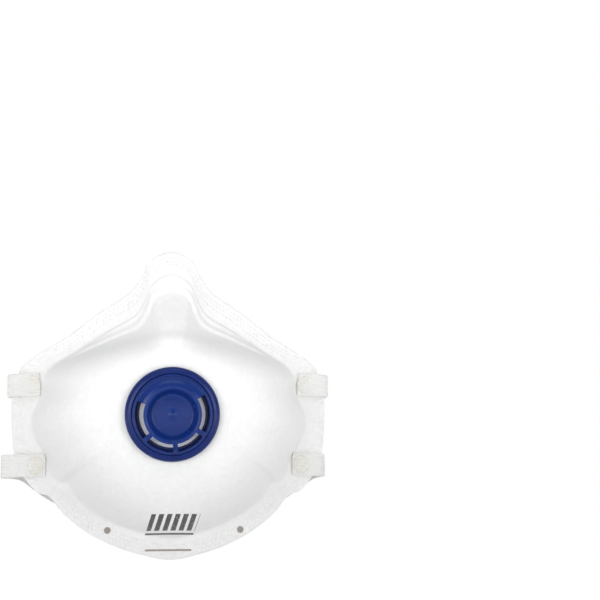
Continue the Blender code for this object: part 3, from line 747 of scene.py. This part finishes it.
def cover_material():
    """White needled web, with a plain hatched patch, two dots and a line printed on it."""
    paint, base = nonwoven("cover_nonwoven", (0.90, 0.90, 0.89), (0.80, 0.80, 0.79))
    x, y, z = paint.xyz()
    front = paint.math("LESS_THAN", y, -0.012)
    grain = paint.noise(1500.0, 3.0, 0.7)
    v = paint.math("ADD", z, -PATCH_Z)
    u = paint.math("MULTIPLY_ADD", v, -PATCH_SLANT, paint.math("ADD", x, -PATCH_X))
    wave = paint.math("FLOORED_MODULO", paint.math("ADD", u, 0.5), BAR_PITCH)
    bars = paint.math("MULTIPLY", box_mask(paint, u, v, PATCH_HALF_WIDTH, PATCH_HALF_HEIGHT),
                      paint.math("LESS_THAN", wave, BAR_WIDTH))
    rule = box_mask(paint, u, paint.math("ADD", v, 0.0046), PATCH_HALF_WIDTH, 0.00035)
    ink = paint.math("MULTIPLY", paint.math("MAXIMUM", bars, rule), front)
    ink = paint.math("MULTIPLY", ink, paint.math("GREATER_THAN", grain, 0.34))
    printed = paint.mix(ink, base, (0.085, 0.082, 0.085))
    aside = paint.math("ABSOLUTE", paint.math("ADD", x, -DOTS_X))
    away = paint.math("SUBTRACT", aside, DOTS_APART)
    low = paint.math("ADD", z, -DOTS_Z)
    dot = paint.math("LESS_THAN", paint.math("SQRT", paint.math("ADD",
                     paint.math("POWER", away, 2.0), paint.math("POWER", low, 2.0))), DOT_RADIUS)
    line = box_mask(paint, paint.math("ADD", x, -LINE_X), paint.math("ADD", z, -LINE_Z),
                    LINE_HALF_WIDTH, LINE_HALF_HEIGHT)
    marks = paint.math("MULTIPLY", paint.math("MAXIMUM", dot, line), front)
    marks = paint.math("MULTIPLY", marks, paint.math("GREATER_THAN", grain, 0.30))
    paint.colour(paint.mix(marks, printed, (0.34, 0.30, 0.27)))
    return paint.mat


def plain_web(name, colour, deep, size, strength):
    paint, base = nonwoven(name, colour, deep, size, strength)
    paint.colour(base)
    return paint.mat


def plastic(name, colour, dark, roughness):
    """Moulded plastic: faint flow clouding, a fine spark-eroded skin and light rub marks."""
    paint = Paint(name, colour, roughness)
    cloud = paint.noise(160.0, 3.0, 0.5, distort=1.2)
    skin = paint.noise(5200.0, 2.0, 0.5)
    rub = paint.noise(1.0, 3.0, 0.6, paint.scaled((900.0, 60.0, 900.0), (0.3, 0.2, 0.5)))
    paint.colour(paint.ramp(cloud, ((0.30, dark), (0.70, colour))))
    paint.roughness(paint.math("MULTIPLY_ADD", rub, 0.6, paint.math("MULTIPLY", cloud, 0.4)),
                    roughness - 0.07, roughness + 0.10)
    paint.bump((cloud, 0.06, 0.00012), (skin, 0.08, 0.00002))
    paint.shader.inputs["Specular IOR Level"].default_value = 0.24
    return paint.mat


def silicone():
    paint = Paint("diaphragm_silicone", (0.78, 0.78, 0.84), 0.42)
    cloud = paint.noise(380.0, 3.0)
    paint.colour(paint.ramp(cloud, ((0.30, (0.70, 0.70, 0.76)), (0.70, (0.80, 0.80, 0.86)))))
    paint.roughness(cloud, 0.36, 0.50)
    paint.bump((paint.noise(2600.0, 2.0), 0.10, 0.00003))
    paint.shader.inputs["Subsurface Weight"].default_value = 0.08
    paint.shader.inputs["Subsurface Radius"].default_value = (0.002, 0.002, 0.002)
    return paint.mat


def elastic():
    """Braided white elastic: fine slanting yarns, two ways, over the band's ribs."""
    paint = Paint("strap_elastic", (0.86, 0.86, 0.84), 0.86)
    x, y, z = paint.xyz()
    run = paint.math("ADD", paint.math("ABSOLUTE", x), y)
    yarn = paint.math("SINE", paint.math("MULTIPLY", paint.math("MULTIPLY_ADD", z, 1.6, run),
                                         7400.0))
    cross = paint.math("SINE", paint.math("MULTIPLY", paint.math("MULTIPLY_ADD", z, -1.6, run),
                                          7400.0))
    weave = paint.math("MAXIMUM", yarn, cross)
    fuzz = paint.noise(3000.0, 3.0, 0.6)
    tone = paint.math("MULTIPLY_ADD", weave, 0.18, fuzz)
    paint.colour(paint.ramp(tone, ((0.30, (0.74, 0.74, 0.72)), (0.66, (0.88, 0.88, 0.86)))))
    paint.bump((weave, 0.45, 0.00008), (fuzz, 0.25, 0.00004))
    paint.roughness(fuzz, 0.80, 0.95)
    paint.shader.inputs["Sheen Weight"].default_value = 0.3
    return paint.mat


def weld():
    """Melted elastic: slightly glassy, a little yellower than the band."""
    paint = Paint("weld_button", (0.80, 0.79, 0.73), 0.42)
    cloud = paint.noise(900.0, 3.0)
    paint.colour(paint.ramp(cloud, ((0.30, (0.72, 0.70, 0.62)), (0.70, (0.84, 0.83, 0.79)))))
    paint.roughness(cloud, 0.34, 0.62)
    paint.bump((cloud, 0.35, 0.00008), (paint.noise(4200.0, 2.0), 0.2, 0.00002))
    return paint.mat


def foam():
    paint = Paint("nose_foam", (0.07, 0.075, 0.08), 0.95)
    pores = paint.cells(1500.0)
    paint.colour(paint.ramp(pores, ((0.10, (0.030, 0.032, 0.036)), (0.55, (0.11, 0.115, 0.12)))))
    paint.bump((pores, 0.8, 0.00018), (paint.noise(5200.0, 2.0), 0.3, 0.00004))
    paint.roughness(pores, 0.98, 0.86)
    return paint.mat


def rolled_metal():
    paint = Paint("clip_aluminium", (0.62, 0.63, 0.64), 0.34, 1.0)
    grain = paint.noise(1.0, 3.0, 0.6, paint.scaled((60.0, 900.0, 4200.0)))
    paint.colour(paint.ramp(grain, ((0.30, (0.52, 0.53, 0.54)), (0.70, (0.68, 0.69, 0.70)))))
    paint.roughness(grain, 0.26, 0.46)
    paint.bump((grain, 0.15, 0.00004))
    return paint.mat


# ---------------------------------------------------------------- the cup

def make_cover(cup, mat):
    lift = clip_band(cup) - weld_dots(cup, COVER_DENT)
    lift = lift + 0.00010 * waves(cup.grid, 0.030, 3) * smooth_step(0.1, 0.2, cup.pinch - 0.5)
    lift[:, :4] = 0.0
    thick = COVER_BACK * cup.pinch
    front = cup.grid + cup.normal * lift[..., None]
    back = cup.grid + cup.normal * (np.maximum(clip_band(cup), 0.0) - thick)[..., None]
    mesh = layer_mesh("outer_cover_web", cup, front, back, True)
    cover = new_object("outer_cover_web", mesh, mat)
    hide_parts("outer_cover")
    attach(cover, "mask")
    return cover


def make_filter(cup, mat):
    top = cup.grid - cup.normal * (FILTER_FRONT * cup.pinch)[..., None]
    low = cup.grid - cup.normal * (FILTER_BACK * cup.pinch)[..., None]
    step = 3
    keep = np.unique(np.append(np.arange(0, cup.grid.shape[1], 2), cup.grid.shape[1] - 1))
    a, b = top[::step][:, keep], low[::step][:, keep]
    columns, rows = a.shape[0], a.shape[1]
    points = np.concatenate([a.reshape(-1, 3), b.reshape(-1, 3)])
    second = columns * rows
    faces = sheet_faces(0, columns, rows, False) + sheet_faces(second, columns, rows, True)
    for i in range(columns):
        p, q = i * rows, ((i + 1) % columns) * rows
        faces.append((p, q, second + q, second + p))
        faces.append((p + rows - 1, second + p + rows - 1, second + q + rows - 1, q + rows - 1))
    layer = new_object("filter_web", mesh_of("filter_web", points, faces), mat)
    outwards(layer.data)
    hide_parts("filter_layer")
    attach(layer, "mask")


def make_liner(cup, mat):
    dents = weld_dots(cup, LINER_DENT) - 0.00008 * waves(cup.grid, 0.022, 9)
    dents[:, :4] = 0.0
    front = cup.grid - cup.normal * (LINER_FRONT * cup.pinch)[..., None]
    depth = LINER_BACK * cup.pinch - np.maximum(dents, -0.0001)
    back = cup.grid - cup.normal * depth[..., None]
    mesh = layer_mesh("inner_liner_web", cup, back, front, False)
    layer = new_object("inner_liner_web", mesh, mat)
    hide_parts("inner_liner")
    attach(layer, "mask")


def make_foam(cup, mat):
    """The soft strip inside the nose, with rounded edges and tapered ends."""
    span, inset, width, gap, thick = 44.0, 0.0010, 0.0080, 0.0028, 0.0021
    sides = [i for i in range(len(cup.grid)) if cup.nose[i] <= span]
    order = sorted(sides, key=lambda i: cup.nose[i] * (1 if cup.grid[i, -1, 0] >= 0 else -1))
    order = order[::4] + ([order[-1]] if (len(order) - 1) % 4 else [])
    loops = []
    for i in order:
        line, normals = cup.grid[i, 4:cup.edge_row + 1], cup.normal[i, 4:cup.edge_row + 1]
        d = cup.inset[i, 4:cup.edge_row + 1]
        end = smooth_step(0.0, 3.0, span - cup.nose[i] + 0.6)
        loop = []
        for u, v in foam_section(12):
            at = inset + width * (0.5 + u * (0.5 - 0.12 * (1 - end)))
            depth = gap + thick * end * (0.5 + 0.5 * v) + 0.0001
            spot = [np.interp(-at, -d, line[:, k]) for k in range(3)]
            normal = unit(np.array([np.interp(-at, -d, normals[:, k]) for k in range(3)]))
            loop.append(np.array(spot) - normal * depth)
        loops.append(loop)
    size = len(loops[0])
    points = [p for loop in loops for p in loop]
    faces = []
    for i in range(len(loops) - 1):
        for j in range(size):
            a, b = i * size, (i + 1) * size
            n = (j + 1) % size
            faces.append((a + j, a + n, b + n, b + j))
    faces.append(tuple(range(size)))
    faces.append(tuple(reversed(range(len(points) - size, len(points)))))
    obj = new_object("nose_foam_strip", mesh_of("nose_foam_strip", points, faces), mat)
    outwards(obj.data)
    obj.data.set_sharp_from_angle(angle=math.radians(60))
    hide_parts("nose_foam")
    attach(obj, "mask")


def foam_section(steps):
    """A flat oval with full sides, as (across, deep), both from -1 to 1."""
    made = []
    for k in range(4 * steps):
        a = 2 * math.pi * k / (4 * steps)
        c, s = math.cos(a), math.sin(a)
        made.append((math.copysign(abs(c) ** 0.42, c), math.copysign(abs(s) ** 0.55, s)))
    return made


# ---------------------------------------------------------------- the valve

def make_seat(mat, place):
    profile = filleted([
        (0.01700, 0.00400), (0.01820, 0.00370), (0.01910, 0.00290), (0.01950, 0.00200),
        (0.01950, 0.00005), (0.01520, 0.00005), (0.01520, -0.00390), (0.01390, -0.00390),
        (0.01390, -0.00080), (0.01200, -0.00080), (0.01200, 0.00090), (0.01260, 0.00090),
        (0.01260, 0.00020), (0.01490, 0.00020), (0.01490, 0.00230), (0.01670, 0.00230),
        (0.01670, 0.00380),
    ], 0.00030, 3)
    seat = turned("valve_seat_moulding", profile, mat)
    bars = []
    for k in range(3):
        outline = [(0.0008, -0.00065), (0.0123, -0.00065), (0.0123, 0.00065), (0.0008, 0.00065)]
        bar = prism("spoke", outline, -0.0007, 0.0004, mat)
        bar.data.transform(Matrix.Rotation(math.radians(30.0 + 120.0 * k), 4, "Z"))
        bars.append(bar)
    hub = [(0.0, 0.0034), (0.0010, 0.0034), (0.0014, 0.0030), (0.0014, 0.0005),
           (0.0022, 0.0005), (0.0023, 0.0004), (0.0023, -0.0008), (0.0, -0.0008)]
    bars.append(turned("hub", hub, mat, 48, closed=False))
    cut(seat, bars, "UNION")
    soft_edges(seat, 0.00010)
    seat.data.transform(place)
    finish_valve(seat, "valve_seat", "mask")


def finish_valve(obj, node, body):
    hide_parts(node)
    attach(obj, body)


def sector(inner, outer, start, end, trim_start, trim_end, steps=40):
    points = []
    for radius, order in ((outer, 1), (inner, -1)):
        low = start + math.asin(trim_start / radius)
        high = end - math.asin(trim_end / radius)
        for angle in [low + (high - low) * k / steps for k in range(steps + 1)][::order]:
            points.append((radius * math.sin(angle), -radius * math.cos(angle)))
    return points


def make_cover_cap(mat, place):
    """Domed cover with its dished middle, closed hood, slots, three struts and clip-in ring."""
    dome = [
        (0.0, 0.00530), (0.0030, 0.00526), (0.0060, 0.00505), (0.0080, 0.00482),
        (0.0086, 0.00500), (0.01000, 0.00780), (0.01055, 0.00845), (0.01120, 0.00862),
        (0.01190, 0.00858), (0.01330, 0.00812), (0.01480, 0.00690), (0.01565, 0.00555),
        (0.01600, 0.00430), (0.01600, 0.00360), (0.01550, 0.00360), (0.01510, 0.00500),
        (0.01420, 0.00620), (0.01310, 0.00700), (0.01160, 0.00750), (0.01090, 0.00680),
        (0.00940, 0.00420), (0.00880, 0.00380), (0.0, 0.00390),
    ]
    head, tail = dome[0], dome[-1]
    inner = filleted(dome[1:-1], 0.00055, 4)
    cap = turned("valve_cover_moulding", [head] + inner[3:-2] + [tail], mat, closed=False)
    strut, hood = math.radians(STRUT_ANGLE), math.radians(180.0 - HOOD_HALF_ANGLE)
    half = STRUT_WIDTH / 2
    slots = ((0.0, strut, half, half), (strut, hood, half, 0.0),
             (-strut, 0.0, half, half), (-hood, -strut, 0.0, half))
    cut(cap, [prism("slot", sector(CAP_RADIUS, VALVE_RADIUS, *slot), 0.0018, 0.0126, mat)
              for slot in slots])
    ring = filleted([(0.01610, 0.00490), (0.01655, 0.00430), (0.01655, 0.00260),
                     (0.01530, 0.00260), (0.01530, 0.00490)], 0.00018, 3)
    cut(cap, [turned("ring", ring, mat)], "UNION")
    soft_edges(cap, 0.00014)
    gate = turned("gate", [(0.0, 0.00545), (0.0005, 0.00543), (0.0008, 0.00528),
                           (0.0008, 0.0045), (0.0, 0.0045)], mat, 32, closed=False)
    cut(cap, [gate], "UNION")
    cap.data.shade_smooth()
    cap.data.set_sharp_from_angle(angle=math.radians(40))
    cap.data.transform(place)
    finish_valve(cap, "valve_cover", "mask")


def make_diaphragm(mat, place):
    low, high = 0.00095, 0.00150
    profile = filleted([(0.0018, high + 0.0002), (0.0030, high + 0.00015), (0.0110, high),
                        (0.0136, high - 0.0001), (0.0136, low), (0.0110, low),
                        (0.0030, low + 0.0001), (0.0018, low + 0.0001)], 0.00015, 3)
    disc = turned("valve_diaphragm_disc", profile, mat)
    disc.data.transform(place)
    finish_valve(disc, "valve_diaphragm", "diaphragm")


def make_clamp(mat, place):
    profile = filleted([(0.0155, -0.00275), (0.0185, -0.00275), (0.0185, -0.0036),
                        (0.0180, -0.0038), (0.0155, -0.0038)], 0.00025, 3)
    ring = turned("valve_clamp_ring", profile, mat)
    notches = []
    for k in range(6):
        outline = [(0.0176, -0.0006), (0.0195, -0.0006), (0.0195, 0.0006), (0.0176, 0.0006)]
        notch = prism("notch", outline, -0.0050, -0.0033, mat)
        notch.data.transform(Matrix.Rotation(math.radians(60.0 * k), 4, "Z"))
        notches.append(notch)
    cut(ring, notches)
    soft_edges(ring, 0.00008, 1)
    ring.data.transform(place)
    finish_valve(ring, "valve_retaining_ring", "mask")


# ---------------------------------------------------------------- straps and welds

def strap_section(ribs=7, steps=9):
    """Outline of the flat band: (up, out), ribs along both faces, in metres."""
    count = ribs * steps
    face = []
    for k in range(count + 1):
        u = -1.0 + 2.0 * k / count
        swell = 0.5 - 0.5 * math.cos(2 * math.pi * ribs * k / count)
        edge = math.sqrt(max(0.0, 1.0 - abs(u) ** 14))
        thick = BAND_HALF_THICKNESS - BAND_RIB + BAND_RIB * swell
        face.append((u * BAND_HALF_WIDTH, thick * max(edge, 0.25)))
    other = [(u, -v) for u, v in reversed(face)]
    return face + other


def strap_frames(spots):
    tangent = unit(np.gradient(spots, axis=0))
    up = np.array((0.0, 0.0, 1.0)) - tangent * tangent[:, 2:3]
    up = unit(up)
    return np.cross(tangent, up), up


def make_strap(name, route, z, mat, cover, node, count=520):
    spots = spline([(x, y, z - sag) for x, y, sag in route], count)
    out, up = strap_frames(spots)
    section = strap_section()
    tree = BVHTree.FromObject(cover, bpy.context.evaluated_depsgraph_get())
    points, size = [], len(section)
    run = steps_of(spots)
    for i, spot in enumerate(spots):
        ripple = 0.00006 * math.sin(run[i] * 1500.0) + 0.00012 * math.sin(run[i] * 190.0 + z * 900)
        near = smooth_step(0.0, 0.0060, 0.0035 - spot[1]) if abs(spot[0]) > 0.050 else 0.0
        for u, v in section:
            p = spot + up[i] * u + out[i] * (v + ripple)
            if near > 0.0:
                p = pressed(p, v, tree, near)
            points.append(p)
    faces = []
    for i in range(count - 1):
        for j in range(size):
            n = (j + 1) % size
            faces.append((i * size + j, (i + 1) * size + j, (i + 1) * size + n, i * size + n))
    faces.append(tuple(range(size)))
    faces.append(tuple(reversed(range(len(points) - size, len(points)))))
    obj = new_object(name, mesh_of(name, points, faces), mat)
    outwards(obj.data)
    obj.data.set_sharp_from_angle(angle=math.radians(60))
    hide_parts(node)
    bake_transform(obj)


def pressed(point, v, tree, near):
    """The band's end lies on the flange: bring its points down onto it by a share."""
    side = 1.0 if point[0] > 0 else -1.0
    way = Vector((-0.40 * side, 0.916, 0.0))
    hit = tree.ray_cast(Vector(point) - way * 0.004, way, 0.012)
    if hit[0] is None:
        return point
    wanted = np.array(hit[0]) - np.array(way) * (v + 0.00062)
    return point * (1.0 - near) + wanted * near


def make_weld(name, node, box, mat, cover, side):
    """A pressed round weld over a strap's end, with a rim and a grid of small pits."""
    low, high = (Vector(c) for c in box)
    middle = (low + high) / 2
    radius, rings, spokes = WELD_RADIUS, 14, 56
    tree = BVHTree.FromObject(cover, bpy.context.evaluated_depsgraph_get())
    out = Vector((0.40 * side, -0.916, 0.0)).normalized()
    up = Vector((0.0, 0.0, 1.0))
    along_x = up.cross(out).normalized()
    turn = 2 * math.pi / WELD_PITCH
    points = []
    for ring in range(rings + 1):
        r = radius * ring / rings
        for k in range(spokes if ring else 1):
            a = 2 * math.pi * k / spokes
            u, w = r * math.cos(a), r * math.sin(a)
            pit = 0.0
            if r < radius * 0.80:
                pit = max(0.0, math.cos(u * turn)) * max(0.0, math.cos(w * turn))
            rim = math.exp(-((r - radius * 0.90) / 0.00035) ** 2)
            lift = 0.00118 + 0.00026 * rim - 0.00030 * pit
            if ring == rings:
                lift = 0.00095
            spot = middle + along_x * u + up * w
            hit = tree.ray_cast(spot + out * 0.004, -out, 0.012)[0]
            base = hit if hit is not None else spot
            points.append(base + out * lift)
    faces = [(0, 1 + k, 1 + (k + 1) % spokes) for k in range(spokes)]
    for ring in range(1, rings):
        a, b = 1 + (ring - 1) * spokes, 1 + ring * spokes
        for k in range(spokes):
            n = (k + 1) % spokes
            faces.append((a + k, b + k, b + n, a + n))
    top = len(points)
    points += [p - out * WELD_THICKNESS for p in points]
    faces += [tuple(i + top for i in reversed(f)) for f in faces]
    last = 1 + (rings - 1) * spokes
    for k in range(spokes):
        n = (k + 1) % spokes
        faces.append((last + k, last + top + k, last + top + n, last + n))
    obj = new_object(name, mesh_of(name, points, faces), mat)
    outwards(obj.data)
    obj.data.set_sharp_from_angle(angle=math.radians(70))
    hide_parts(node)
    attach(obj, "mask")


def make_straps(cover):
    band, melted = elastic(), weld()
    make_strap("upper_strap_band", UPPER_ROUTE, UPPER_Z, band, cover, "upper_head_strap")
    make_strap("lower_strap_band", LOWER_ROUTE, LOWER_Z, band, cover, "lower_head_strap")
    for height in ("upper", "lower"):
        for way, side in (("left", -1.0), ("right", 1.0)):
            node = "%s_%s_strap_anchor" % (height, way)
            make_weld("%s_%s_weld" % (height, way), node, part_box(node), melted, cover, side)


def main():
    make_camera()
    make_studio()
    cup = Cup()
    cover = make_cover(cup, cover_material())
    make_filter(cup, plain_web("filter_media", (0.88, 0.89, 0.88), (0.78, 0.79, 0.78),
                               4200.0, 0.4))
    make_liner(cup, plain_web("liner_nonwoven", (0.88, 0.88, 0.86), (0.77, 0.77, 0.75),
                              2100.0, 0.55))
    make_foam(cup, foam())
    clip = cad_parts["nose_clip"]
    clip.data.materials.clear()
    clip.data.materials.append(rolled_metal())
    place = valve_matrix(turned=True)
    dark = plastic("valve_seat_blue", (0.006, 0.022, 0.150), (0.005, 0.017, 0.122), 0.30)
    light = plastic("valve_cover_blue", (0.006, 0.030, 0.190), (0.005, 0.024, 0.158), 0.24)
    make_seat(dark, place)
    make_cover_cap(light, place)
    make_diaphragm(silicone(), place)
    make_clamp(dark, place)
    make_straps(cover)


main()
